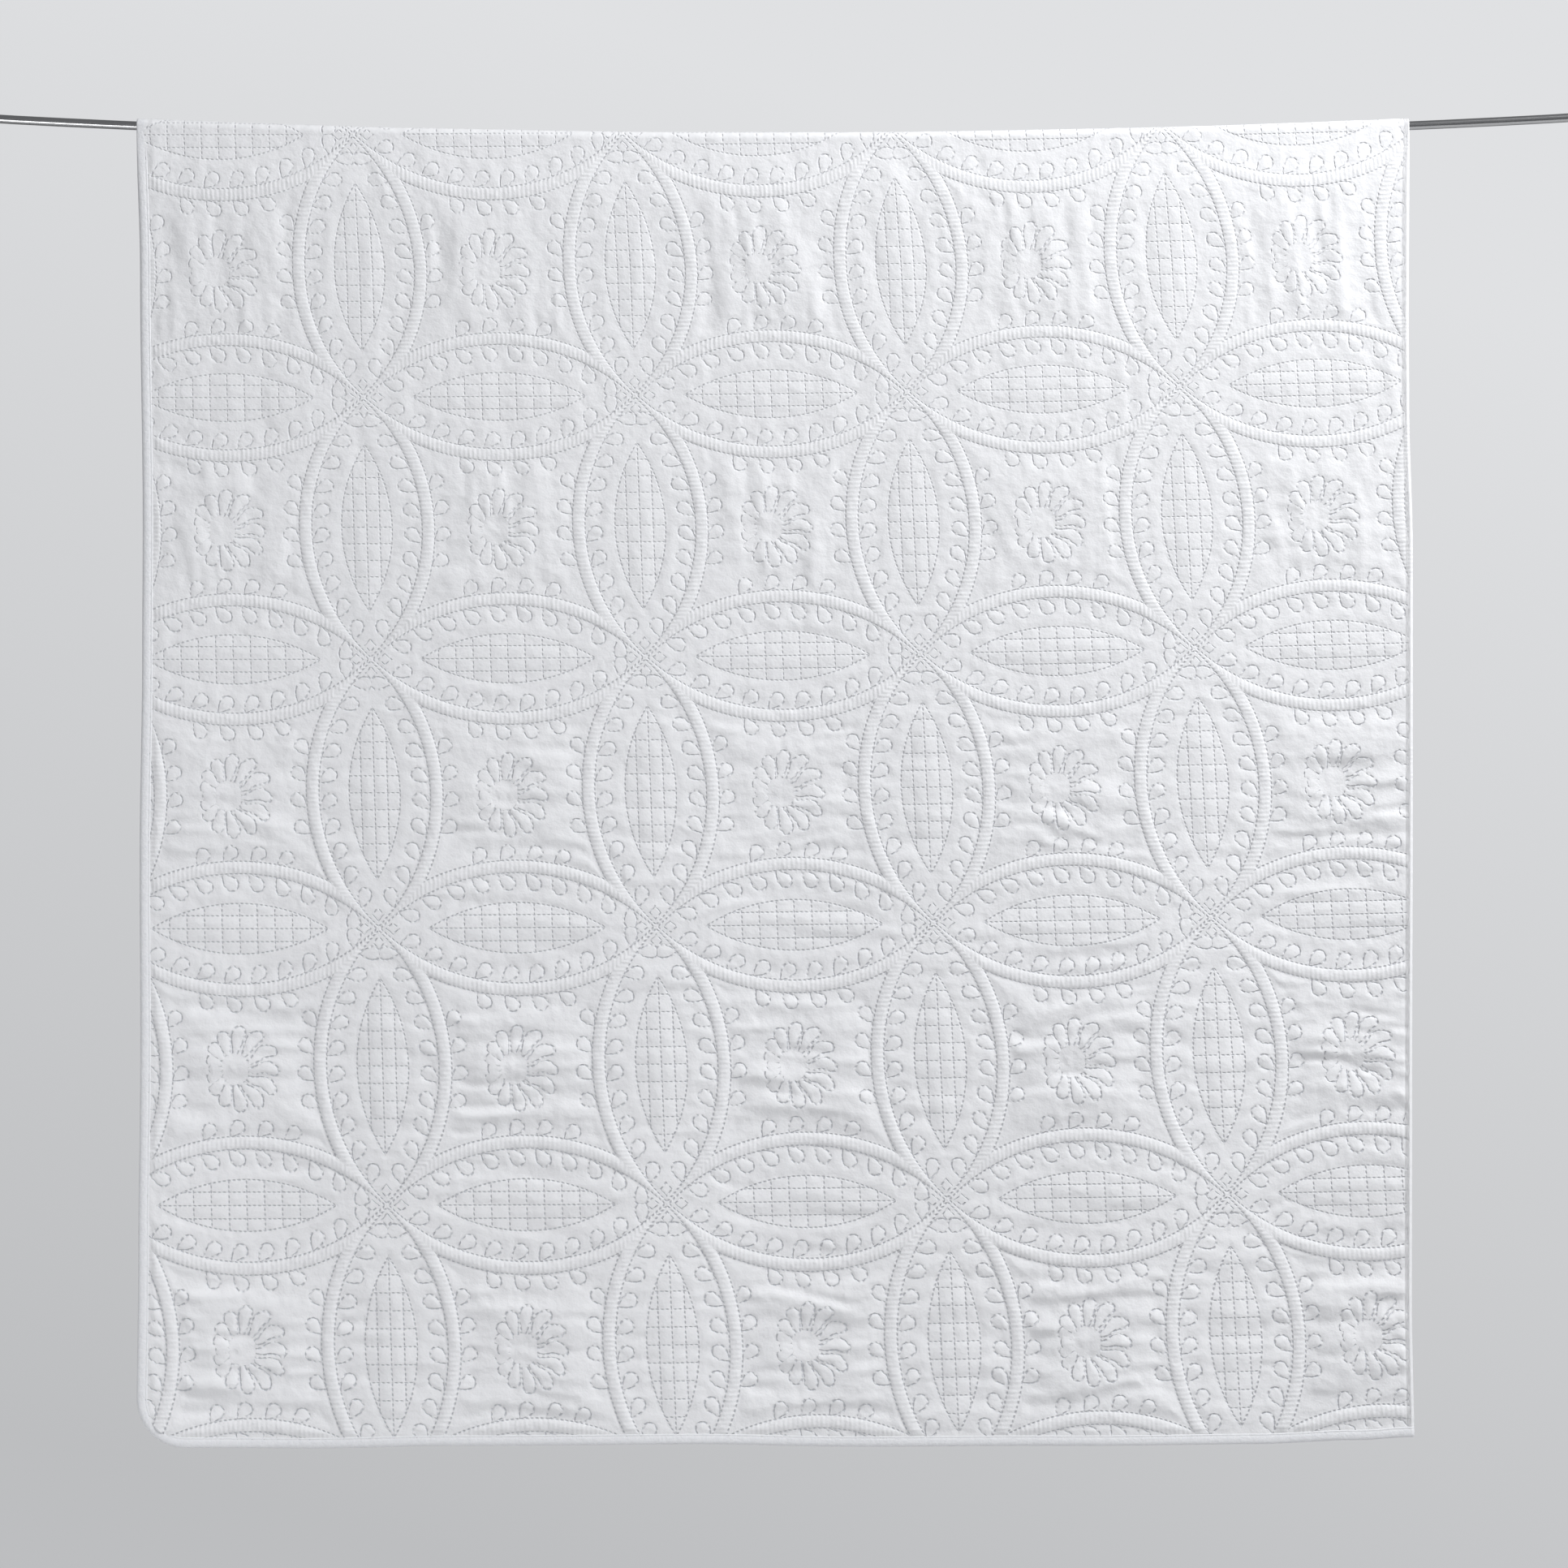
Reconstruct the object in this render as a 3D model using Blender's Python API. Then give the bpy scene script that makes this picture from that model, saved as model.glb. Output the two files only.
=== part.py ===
# A quilt folded in half down its middle and hung over a polished steel rod.
# Metres, +Z up. The rod runs along +X from the origin, the front of the quilt faces -Y.

import bpy
import math
from mathutils import Vector
from mathutils.geometry import delaunay_2d_cdt

# Rod: a parabola that dips under the weight of the cloth, with its last few millimetres level
ROD_LENGTH = 1.500
ROD_RADIUS = 0.0040
ROD_DIP = 0.0212
ROD_RISE_AT_RIGHT = 0.0012
ROD_LEVEL_END = 0.006
ROD_STATIONS = 33

# Cloth: two layers in each drop, pressed thin where they lie on the rod
REST_GAP = 0.0003
CREST_THICKNESS = 0.0010
CREST_GAP = 0.00035
DROP_THICKNESS = 0.0022
DROP_GAP = 0.0012
SWELL_LENGTH = 0.060
CREST_STEPS = 8
CREST_RADIUS = (ROD_RADIUS + REST_GAP) / math.cos(math.pi / CREST_STEPS / 2)
QUARTER_TURN = math.pi / 2 * 0.0057

# Outline of the folded quilt, at the binding's outer edge
LEFT_X = 0.1571
RIGHT_X = 1.3222
OUTER_WIDTH = 1.1651
INNER_WIDTH = 1.1626
INNER_INSET = 0.0025
FOLD_LENGTH = 0.0053
FOLD_STEPS = 4
CORNER_RADIUS = 0.043
FLAT_WIDTH = OUTER_WIDTH + FOLD_LENGTH + INNER_WIDTH

# Binding: a strip beyond the quilted cloth
BINDING_WIDTH = 0.0095
BINDING_GAP = 0.0003
RIM_INSET = BINDING_WIDTH + BINDING_GAP

# How far the free edge stands in and the fold stands out, by share of the drop
LEFT_EDGE = {
    "share": (0.00, 0.12, 0.31, 0.41, 0.56, 0.71, 0.86, 1.00),
    "inward": (0.0000, 0.0037, 0.0062, 0.0058, 0.0036, 0.0044, 0.0027, 0.0012),
}
RIGHT_EDGE = {
    "share": (0.00, 0.16, 0.22, 0.33, 0.50, 0.75, 0.90, 1.00),
    "outward": (0.0007, -0.0001, 0.0004, 0.0037, 0.0037, 0.0029, 0.0026, 0.0045),
}
# How far the two hems hang below the rod's left end, by share of the width
FRONT_HEM = {
    "share": (0.00, 0.13, 0.25, 0.43, 0.55, 0.72, 0.88, 0.96, 1.00),
    "fall": (1.2184, 1.2194, 1.2166, 1.2152, 1.2178, 1.2166, 1.2155, 1.2118, 1.2089),
}
BACK_HEM = {
    "share": (0.00, 0.20, 0.45, 0.70, 0.90, 1.00),
    "fall": (1.2040, 1.2062, 1.2035, 1.2056, 1.2030, 1.2012),
}

# Ring pattern: whole numbers are the points where four rings meet
RING_X = 0.36474
RING_Z = -0.25794
RING_COLUMN = 0.24890
RING_ROW = 0.23613
COLUMN_LEAN = 0.00668
COLUMN_SPREAD = 0.00245
COLUMN_BEND = 0.00021
ROW_STRETCH = 0.00342
ROW_TILT = 0.00098
ROW_BOW = 0.00078
PLAIN_ROW = -1.0

# Rings, in shares of their spacing
BAND_INNER = 0.702
BAND_MIDDLE = 0.725
BAND_OUTER = 0.748
LENS_EDGE = 0.5925
BAND_HEIGHT = 0.0019
LENS_HEIGHT = 0.0011
SQUARE_HEIGHT = 0.0018
NODE_HEIGHT = 0.45
RELIEF_FADE = 0.006

COLUMN_STEP = 0.075
ROW_STEP = 0.075
COARSE_STEP = 0.105


def smooth(share):
    share = min(1.0, max(0.0, share))
    return share * share * (3 - 2 * share)


def from_table(table, column, share):
    """The value at this share, eased between the table's rows."""
    shares = table["share"]
    values = table[column]
    if share <= shares[0]:
        return values[0]
    for low in range(len(shares) - 1):
        if share <= shares[low + 1]:
            part = (share - shares[low]) / (shares[low + 1] - shares[low])
            return values[low] + (values[low + 1] - values[low]) * smooth(part)
    return values[-1]


def rod_height(x):
    across = 2 * x / ROD_LENGTH - 1
    return -ROD_DIP * (1 - across * across) + ROD_RISE_AT_RIGHT * x / ROD_LENGTH


def drop_share(t):
    return min(1.0, abs(t) / 1.21)


def swelling(t):
    return smooth((abs(t) - QUARTER_TURN) / SWELL_LENGTH)


def thickness(t):
    return CREST_THICKNESS + (DROP_THICKNESS - CREST_THICKNESS) * swelling(t)


def layer_gap(t):
    return CREST_GAP + (DROP_GAP - CREST_GAP) * swelling(t)


def edges_of_drop(t):
    """x of the free edge, and of the centre of the fold."""
    left = LEFT_X + from_table(LEFT_EDGE, "inward", drop_share(t))
    right = RIGHT_X + from_table(RIGHT_EDGE, "outward", drop_share(t))
    return left, right - thickness(t) - layer_gap(t) / 2


def wave(x, fall, front):
    """How far a drop swings out from the rod's side at this place."""
    share = min(1.0, fall / 1.2)
    grown = smooth(share)
    if front:
        slow = 0.0022 * math.sin(2 * math.pi * x / 0.47 + 0.6)
        quick = 0.0010 * math.sin(2 * math.pi * x / 0.23 + 2.0 + 1.5 * share)
        return grown * (slow + quick) + 0.0030 * share * share
    slow = 0.0024 * math.sin(2 * math.pi * x / 0.52 + 2.4)
    quick = 0.0009 * math.sin(2 * math.pi * x / 0.26 + 0.7 - share)
    return grown * (slow + quick) + 0.0022 * share * share


def on_path(x, t, depth):
    """t runs down the front from the crest, and is negative at the back."""
    radius = CREST_RADIUS + depth
    if abs(t) < QUARTER_TURN:
        angle = t / QUARTER_TURN * math.pi / 2
        return Vector((x, -radius * math.sin(angle), rod_height(x) + radius * math.cos(angle)))
    fall = abs(t) - QUARTER_TURN
    out = radius + wave(x, fall, t > 0)
    return Vector((x, -out if t > 0 else out, rod_height(x) - fall))


def place(a, t, lift):
    """a runs across the outer layer, round the fold and back across the inner layer."""
    thick = thickness(t)
    gap = layer_gap(t)
    left, centre = edges_of_drop(t)
    if a <= OUTER_WIDTH:
        x = left + (centre - left) * a / OUTER_WIDTH
        return on_path(x, t, 1.5 * thick + gap + lift)
    if a < OUTER_WIDTH + FOLD_LENGTH:
        angle = math.pi * (0.5 - (a - OUTER_WIDTH) / FOLD_LENGTH)
        radius = (thick + gap) / 2 + lift
        x = centre + radius * math.cos(angle)
        return on_path(x, t, thick + gap / 2 + radius * math.sin(angle))
    share = (a - OUTER_WIDTH - FOLD_LENGTH) / INNER_WIDTH
    x = centre + (left + INNER_INSET - centre) * share
    return on_path(x, t, thick / 2 - lift)


def hem(a, front):
    """t of the outline's hem below this part of the width."""
    if a <= OUTER_WIDTH:
        share = a / OUTER_WIDTH
    else:
        share = 1 - max(0.0, a - OUTER_WIDTH - FOLD_LENGTH) / INNER_WIDTH
    x = LEFT_X + (RIGHT_X - LEFT_X) * share
    fall = from_table(FRONT_HEM if front else BACK_HEM, "fall", share)
    if a > OUTER_WIDTH + FOLD_LENGTH:
        fall -= 0.002 * smooth((a - OUTER_WIDTH - FOLD_LENGTH) / 0.02)
    t = QUARTER_TURN + rod_height(x) + fall
    return t if front else -t


def ring_point(i, j):
    """World x and flat height of a point of the ring pattern."""
    row = max(j, PLAIN_ROW)
    x = RING_X + RING_COLUMN * i + (COLUMN_LEAN + COLUMN_SPREAD * i) * row + COLUMN_BEND * row * row
    stretch = j * j if j > PLAIN_ROW else PLAIN_ROW * (2 * j - PLAIN_ROW)
    z = RING_Z - RING_ROW * j - ROW_STRETCH * stretch + ROW_TILT * i + ROW_BOW * i * i
    return x, z


def ring_place(x, z):
    """The inverse of ring_point, found step by step."""
    j = (RING_Z - z) / RING_ROW
    i = (x - RING_X) / RING_COLUMN
    for step in range(8):
        found_x, found_z = ring_point(i, j)
        i += (x - found_x) / RING_COLUMN
        j -= (z - found_z) / RING_ROW
    return i, j


def flat_of(x, z):
    """Flat a and t of a point of the pattern on the outer layer."""
    t = QUARTER_TURN + rod_height(x) - z
    left, centre = edges_of_drop(t)
    return OUTER_WIDTH * (x - left) / (centre - left), t


def relief(a, t):
    """How far the quilting stands out of the outer layer's face."""
    if a > OUTER_WIDTH:
        return 0.0
    left, centre = edges_of_drop(t)
    x = left + (centre - left) * a / OUTER_WIDTH
    i, j = ring_place(x, rod_height(x) + QUARTER_TURN - t)
    column, row = math.floor(i), math.floor(j)
    far = []
    for across in (-1, 0, 1):
        for down in (-1, 0, 1):
            far.append(math.hypot(i - column - across - 0.5, j - row - down - 0.5))
    far.sort()
    half = (BAND_OUTER - BAND_INNER) / 2
    height = 0.0
    for distance in far:
        height = max(height, BAND_HEIGHT * (1 - ((distance - BAND_MIDDLE) / half) ** 2))
    if far[1] < LENS_EDGE:
        height = LENS_HEIGHT * smooth((LENS_EDGE - far[1]) / 0.07)
    if far[1] > BAND_OUTER:
        height = SQUARE_HEIGHT * smooth((far[1] - BAND_OUTER) / 0.14)
    node = smooth(math.hypot(i - round(i), j - round(j)) / 0.15)
    height *= NODE_HEIGHT + (1 - NODE_HEIGHT) * node
    rim = min(a - RIM_INSET, OUTER_WIDTH - a, abs(hem(a, t > 0)) - RIM_INSET - abs(t))
    crest = abs(t) - QUARTER_TURN - 0.015
    return height * smooth(rim / RELIEF_FADE) * smooth(crest / 0.02)


def spaced(start, end, step):
    """Evenly spaced values from start to just before end."""
    count = max(1, round(abs(end - start) / step))
    return [start + (end - start) * k / count for k in range(count)]


def crest_lines():
    turn = [QUARTER_TURN * (2 * k / CREST_STEPS - 1) for k in range(CREST_STEPS + 1)]
    below = QUARTER_TURN + SWELL_LENGTH / 3
    return [-below] + turn + [below]


def fold_lines():
    return [OUTER_WIDTH + FOLD_LENGTH * k / FOLD_STEPS for k in range(FOLD_STEPS + 1)]


def columns():
    """Values of a shared by both hems, the crest and the coarse faces."""
    folds = fold_lines()
    first = spaced(CORNER_RADIUS, OUTER_WIDTH - 0.012, COLUMN_STEP)
    last = spaced(FLAT_WIDTH - CORNER_RADIUS, folds[-1] + 0.012, COLUMN_STEP)
    return first + [OUTER_WIDTH - 0.012] + folds + [folds[-1] + 0.012] + last[::-1]


def rows(front_end, back_end):
    lines = crest_lines()
    down = spaced(front_end, lines[-1], ROW_STEP)
    up = spaced(back_end, lines[0], ROW_STEP)
    return up + lines + down[::-1]


def corner(centre_a, centre_t, start):
    """Four stations round a rounded corner, with the way into the cloth from each."""
    found = []
    for step in range(1, 5):
        angle = math.radians(start + 18 * step)
        out_a, out_t = math.cos(angle), math.sin(angle)
        found.append((centre_a + CORNER_RADIUS * out_a, centre_t + CORNER_RADIUS * out_t, -out_a, -out_t))
    return found


def outline():
    """Stations round the whole flat quilt: a, t and the way into the cloth."""
    near, far = CORNER_RADIUS, FLAT_WIDTH - CORNER_RADIUS
    ends = {}
    for front in (True, False):
        sign = 1 if front else -1
        ends[front] = [hem(near, front) - sign * CORNER_RADIUS, hem(far, front) - sign * CORNER_RADIUS]
    left_rows = rows(ends[True][0], ends[False][0])
    right_rows = rows(ends[True][1], ends[False][1])
    stations = [(a, hem(a, True), 0.0, -1.0) for a in columns()]
    stations += corner(far, ends[True][1], 0)[::-1]
    stations += [(FLAT_WIDTH, t, -1.0, 0.0) for t in right_rows[::-1]]
    stations += corner(far, ends[False][1], 270)[::-1]
    stations += [(a, hem(a, False), 0.0, 1.0) for a in columns()[::-1]]
    stations += corner(near, ends[False][0], 180)[::-1]
    stations += [(0.0, t, 1.0, 0.0) for t in left_rows]
    stations += corner(near, ends[True][0], 90)[::-1]
    return stations


def arcs(front):
    """Chains of flat points along the rings of one drop, and single points between them."""
    segments = 5 if front else 4
    reach = {BAND_INNER: 39, BAND_MIDDLE: 32, BAND_OUTER: 26}
    if front:
        reach[LENS_EDGE] = 27
    chains = []
    points = []
    for column in range(-2, 6):
        for row in (range(-2, 5) if front else range(-8, 0)):
            for side in range(4):
                for radius, limit in reach.items():
                    count = segments if radius != LENS_EDGE else segments - 1
                    chain = []
                    for step in range(count + 1):
                        angle = math.radians(90 * side - limit + 2 * limit * step / count)
                        i = column + 0.5 + radius * math.cos(angle)
                        j = row + 0.5 + radius * math.sin(angle)
                        chain.append(flat_of(*ring_point(i, j)))
                    chains.append(chain)
            points.append(flat_of(*ring_point(column, row)))
            points.append(flat_of(*ring_point(column + 0.5, row)))
            points.append(flat_of(*ring_point(column, row + 0.5)))
            for across, down in ((0.34, 0.5), (0.66, 0.5), (0.5, 0.34), (0.5, 0.66)):
                points.append(flat_of(*ring_point(column + across, row + down)))
    return chains, points


class FlatMesh:
    """Flat points and edges that a face must follow."""

    def __init__(self, rim):
        self.points = list(rim)
        self.edges = [(k, (k + 1) % len(rim)) for k in range(len(rim))]
        self.rim = len(rim)
        self.index = {self.key(p): k for k, p in enumerate(rim)}

    def key(self, point):
        return round(point[0], 6), round(point[1], 6)

    def add(self, point):
        key = self.key(point)
        if key not in self.index:
            self.index[key] = len(self.points)
            self.points.append(point)
        return self.index[key]

    def line(self, chain):
        found = [self.add(point) for point in chain]
        self.edges += [(p, q) for p, q in zip(found, found[1:]) if p != q]

    def triangles(self):
        coords = [Vector(point) for point in self.points]
        result = delaunay_2d_cdt(coords, self.edges, [list(range(self.rim))], 1, 1e-7)
        made, faces, origins = result[0], result[2], result[3]
        return made, faces, origins


def shared_lines(mesh):
    """The lines that both faces of the cloth follow: over the crest and round the fold."""
    inset = RIM_INSET
    for t in crest_lines():
        inside = [(a, t) for a in columns()]
        mesh.line([(inset, t)] + inside + [(FLAT_WIDTH - inset, t)])
    lows = spaced(hem(OUTER_WIDTH, False) + inset, crest_lines()[0], ROW_STEP)
    highs = spaced(hem(OUTER_WIDTH, True) - inset, crest_lines()[-1], ROW_STEP)
    for a in fold_lines():
        inside = [(a, t) for t in lows[1:] + crest_lines() + highs[1:][::-1]]
        mesh.line([(a, hem(a, False) + inset)] + inside + [(a, hem(a, True) - inset)])


def coarse_points(mesh, low, high):
    """A plain grid of points over part of the width."""
    lines = crest_lines()
    for a in columns():
        if not low <= a <= high:
            continue
        for t in spaced(hem(a, False) + RIM_INSET, lines[0], COARSE_STEP)[1:]:
            mesh.add((a, t))
        for t in spaced(hem(a, True) - RIM_INSET, lines[-1], COARSE_STEP)[1:]:
            mesh.add((a, t))


def ring_points(mesh):
    """The rings of both drops, kept clear of the rim, the crest and the fold."""
    inset = RIM_INSET + 0.005
    clear = QUARTER_TURN + SWELL_LENGTH / 3 + 0.004

    def kept(point):
        a, t = point
        if not inset < a < OUTER_WIDTH - 0.017:
            return False
        below = abs(t) - abs(hem(CORNER_RADIUS, t > 0)) + CORNER_RADIUS
        if a < CORNER_RADIUS and below > 0:
            if math.hypot(CORNER_RADIUS - a, below) > CORNER_RADIUS - inset:
                return False
        return clear < t < hem(a, True) - inset or hem(a, False) + inset < t < -clear

    for front in (True, False):
        chains, points = arcs(front)
        for chain in chains:
            run = []
            for point in chain:
                if kept(point) and (point[1] > 0) == front:
                    run.append(point)
                    continue
                mesh.line(run)
                run = []
            mesh.line(run)
        for point in points:
            if kept(point) and (point[1] > 0) == front:
                mesh.add(point)


def quilt_mesh(stations):
    rim = [(a + in_a * RIM_INSET, t + in_t * RIM_INSET) for a, t, in_a, in_t in stations]
    outer = FlatMesh(rim)
    shared_lines(outer)
    coarse_points(outer, OUTER_WIDTH + FOLD_LENGTH + 0.001, FLAT_WIDTH)
    ring_points(outer)
    inner = FlatMesh(rim)
    shared_lines(inner)
    coarse_points(inner, 0.0, OUTER_WIDTH - 0.001)
    coarse_points(inner, OUTER_WIDTH + FOLD_LENGTH + 0.001, FLAT_WIDTH)
    vertices = []
    faces = []
    rims = []
    for flat, side in ((outer, 1), (inner, -1)):
        made, triangles, origins = flat.triangles()
        start = len(vertices)
        for point in made:
            a, t = point
            lift = side * thickness(t) / 2
            if side > 0:
                lift += relief(a, t)
            vertices.append(place(a, t, lift))
        for triangle in triangles:
            corners = [start + k for k in triangle]
            faces.append(corners[::-1] if side > 0 else corners)
        loop = [None] * flat.rim
        for k, sources in enumerate(origins):
            for source in sources:
                if source < flat.rim:
                    loop[source] = start + k
        rims.append(loop)
    count = len(rims[0])
    for k in range(count):
        after = (k + 1) % count
        faces.append([rims[1][k], rims[1][after], rims[0][after], rims[0][k]])
    return vertices, faces


def binding_mesh(stations):
    """A rounded flat strip round the whole rim, closed into one loop."""
    section = ((0.0, 0.30), (0.28, 0.92), (0.62, 1.00), (1.0, 0.80), (1.0, -0.80), (0.62, -1.00),
               (0.28, -0.92), (0.0, -0.30))
    vertices = []
    for a, t, in_a, in_t in stations:
        half = thickness(t) / 2 + (layer_gap(t) - CREST_GAP) / 2
        for inward, up in section:
            step = inward * BINDING_WIDTH
            vertices.append(place(a + in_a * step, t + in_t * step, up * half))
    size = len(section)
    faces = []
    for k in range(len(stations)):
        here, after = k * size, (k + 1) % len(stations) * size
        for m in range(size):
            n = (m + 1) % size
            faces.append([here + m, after + m, after + n, here + n])
    return vertices, faces


def material(name, colour, roughness, metallic=0.0):
    made = bpy.data.materials.new(name)
    made.use_nodes = True
    shader = made.node_tree.nodes["Principled BSDF"]
    shader.inputs["Base Color"].default_value = (*colour, 1.0)
    shader.inputs["Roughness"].default_value = roughness
    shader.inputs["Metallic"].default_value = metallic
    return made


def add_mesh(group, name, vertices, faces, look):
    mesh = bpy.data.meshes.new(name)
    mesh.from_pydata(vertices, [], faces)
    mesh.validate()
    mesh.shade_smooth()
    mesh.materials.append(look)
    made = bpy.data.objects.new(name, mesh)
    group.objects.link(made)
    return made


def add_rod(group, look):
    inner = [ROD_LENGTH * k / (ROD_STATIONS - 1) for k in range(1, ROD_STATIONS - 1)]
    points = [(0.0, 0.0), (ROD_LEVEL_END, 0.0)]
    points += [(x, rod_height(x)) for x in inner]
    points += [(ROD_LENGTH - ROD_LEVEL_END, ROD_RISE_AT_RIGHT), (ROD_LENGTH, ROD_RISE_AT_RIGHT)]
    curve = bpy.data.curves.new("rod", "CURVE")
    curve.dimensions = "3D"
    curve.bevel_depth = ROD_RADIUS
    curve.bevel_resolution = 4
    curve.use_fill_caps = True
    spline = curve.splines.new("POLY")
    spline.points.add(len(points) - 1)
    for point, (x, z) in zip(spline.points, points):
        point.co = (x, 0.0, z, 1.0)
    curve.materials.append(look)
    made = bpy.data.objects.new("rod", curve)
    group.objects.link(made)
    return made


for old in list(bpy.data.objects):
    bpy.data.objects.remove(old)
group = bpy.data.collections.new("quilt over a rod")
bpy.context.scene.collection.children.link(group)

cloth = material("white quilted cotton", (0.83, 0.83, 0.85), 0.9)
trim = material("white cotton binding", (0.85, 0.85, 0.87), 0.85)
steel = material("polished steel", (0.62, 0.62, 0.63), 0.18, 1.0)

rim_stations = outline()
add_mesh(group, "quilt", *quilt_mesh(rim_stations), cloth)
add_mesh(group, "binding", *binding_mesh(rim_stations), trim)
add_rod(group, steel)
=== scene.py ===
# A white quilt folded once and hung over a polished steel rod.
import math

import bpy
import numpy as np
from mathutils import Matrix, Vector


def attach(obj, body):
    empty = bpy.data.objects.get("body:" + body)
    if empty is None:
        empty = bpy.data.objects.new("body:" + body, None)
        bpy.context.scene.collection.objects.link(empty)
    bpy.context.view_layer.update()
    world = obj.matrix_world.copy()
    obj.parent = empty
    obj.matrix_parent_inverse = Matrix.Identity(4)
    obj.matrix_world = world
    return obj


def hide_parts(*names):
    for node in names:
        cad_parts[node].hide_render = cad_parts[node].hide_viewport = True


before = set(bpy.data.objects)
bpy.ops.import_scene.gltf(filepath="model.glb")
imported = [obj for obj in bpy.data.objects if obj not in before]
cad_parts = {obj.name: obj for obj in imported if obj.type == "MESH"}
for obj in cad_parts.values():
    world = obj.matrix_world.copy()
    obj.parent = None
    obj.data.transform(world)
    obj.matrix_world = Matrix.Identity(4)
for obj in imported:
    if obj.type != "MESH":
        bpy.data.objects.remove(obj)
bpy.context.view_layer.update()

print("frame loaded")

# Sizes of the hanging quilt, in metres, the same as its solids.
rod = {
    "length": 1.500, "radius": 0.0040,
    "dip": 0.0212, "riseAtRight": 0.0012,     # how far the cloth's weight bends it
    "levelEnd": 0.006, "chamfer": 0.0006,
    "sides": 40, "stations": 120,
}
cloth = {
    "restGap": 0.0003, "crestThickness": 0.0010, "crestGap": 0.00035,
    "dropThickness": 0.0022, "dropGap": 0.0012, "swellLength": 0.060,
    "leftX": 0.1571, "rightX": 1.3222,
    "outerWidth": 1.1651, "innerWidth": 1.1626, "innerInset": 0.0025,
    "foldLength": 0.0053, "cornerRadius": 0.043, "bindingWidth": 0.0095,
}
leftEdge = {
    "share": (0.00, 0.12, 0.31, 0.41, 0.56, 0.71, 0.86, 1.00),
    "inward": (0.0000, 0.0037, 0.0062, 0.0058, 0.0036, 0.0044, 0.0027, 0.0012),
}
rightEdge = {
    "share": (0.00, 0.16, 0.22, 0.33, 0.50, 0.75, 0.90, 1.00),
    "outward": (0.0007, -0.0001, 0.0004, 0.0037, 0.0037, 0.0029, 0.0026, 0.0045),
}
frontHem = {
    "share": (0.00, 0.13, 0.25, 0.43, 0.55, 0.72, 0.88, 0.96, 1.00),
    "fall": (1.2184, 1.2194, 1.2166, 1.2152, 1.2178, 1.2166, 1.2155, 1.2118, 1.2089),
}
backHem = {
    "share": (0.00, 0.20, 0.45, 0.70, 0.90, 1.00),
    "fall": (1.2040, 1.2062, 1.2035, 1.2056, 1.2030, 1.2012),
}
crestRadius = (rod["radius"] + cloth["restGap"]) / math.cos(math.pi / 16)
quarterTurn = math.pi / 2 * 0.0057
foldEnd = cloth["outerWidth"] + cloth["foldLength"]
flatWidth = foldEnd + cloth["innerWidth"]


def smooth(share):
    share = np.clip(share, 0.0, 1.0)
    return share * share * (3 - 2 * share)


# eased between the rows of the table
def fromTable(table, column, share):
    shares, values = np.array(table["share"]), np.array(table[column])
    low = np.clip(np.searchsorted(shares, share, side="right") - 1, 0, len(shares) - 2)
    part = (share - shares[low]) / (shares[low + 1] - shares[low])
    return values[low] + (values[low + 1] - values[low]) * smooth(part)


def rodHeight(x):
    across = 2 * x / rod["length"] - 1
    return -rod["dip"] * (1 - across * across) + rod["riseAtRight"] * x / rod["length"]


def swelling(t):
    return smooth((np.abs(t) - quarterTurn) / cloth["swellLength"])


def thickness(t):
    return cloth["crestThickness"] + (cloth["dropThickness"] - cloth["crestThickness"]) * swelling(t)


def layerGap(t):
    return cloth["crestGap"] + (cloth["dropGap"] - cloth["crestGap"]) * swelling(t)


def edgesOfDrop(t):
    share = np.minimum(1.0, np.abs(t) / 1.21)
    left = cloth["leftX"] + fromTable(leftEdge, "inward", share)
    right = cloth["rightX"] + fromTable(rightEdge, "outward", share)
    return left, right - thickness(t) - layerGap(t) / 2


def wave(x, fall, front):
    share = np.minimum(1.0, fall / 1.2)
    grown = smooth(share)
    turn = 2 * math.pi * x
    ahead = 0.0022 * np.sin(turn / 0.47 + 0.6) + 0.0010 * np.sin(turn / 0.23 + 2.0 + 1.5 * share)
    behind = 0.0024 * np.sin(turn / 0.52 + 2.4) + 0.0009 * np.sin(turn / 0.26 + 0.7 - share)
    return np.where(front, grown * ahead + 0.0030 * share ** 2, grown * behind + 0.0022 * share ** 2)


def onPath(x, t, depth):
    # t runs down the front from the crest and is negative at the back
    radius = crestRadius + depth
    angle = np.clip(t / quarterTurn, -1, 1) * math.pi / 2
    fall = np.maximum(np.abs(t) - quarterTurn, 0)
    out = radius * np.sin(angle) + np.sign(t) * wave(x, fall, t > 0) * (fall > 0)
    level = rodHeight(x) + np.where(fall > 0, 0.0, radius * np.cos(angle)) - fall
    return np.stack([x, -out, level], axis=-1)


def place(a, t, lift):
    # a runs across the outer layer, round the fold and back across the inner layer
    thick, gap = thickness(t), layerGap(t)
    left, centre = edgesOfDrop(t)
    angle = math.pi * (0.5 - (a - cloth["outerWidth"]) / cloth["foldLength"])
    radius = (thick + gap) / 2 + lift
    share = (a - foldEnd) / cloth["innerWidth"]
    onOuter, onFold = a <= cloth["outerWidth"], a < foldEnd
    x = np.where(onOuter, left + (centre - left) * a / cloth["outerWidth"],
                 np.where(onFold, centre + radius * np.cos(angle),
                          centre + (left + cloth["innerInset"] - centre) * share))
    depth = np.where(onOuter, 1.5 * thick + gap + lift,
                     np.where(onFold, thick + gap / 2 + radius * np.sin(angle), thick / 2 - lift))
    return onPath(x, t, depth)


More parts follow.
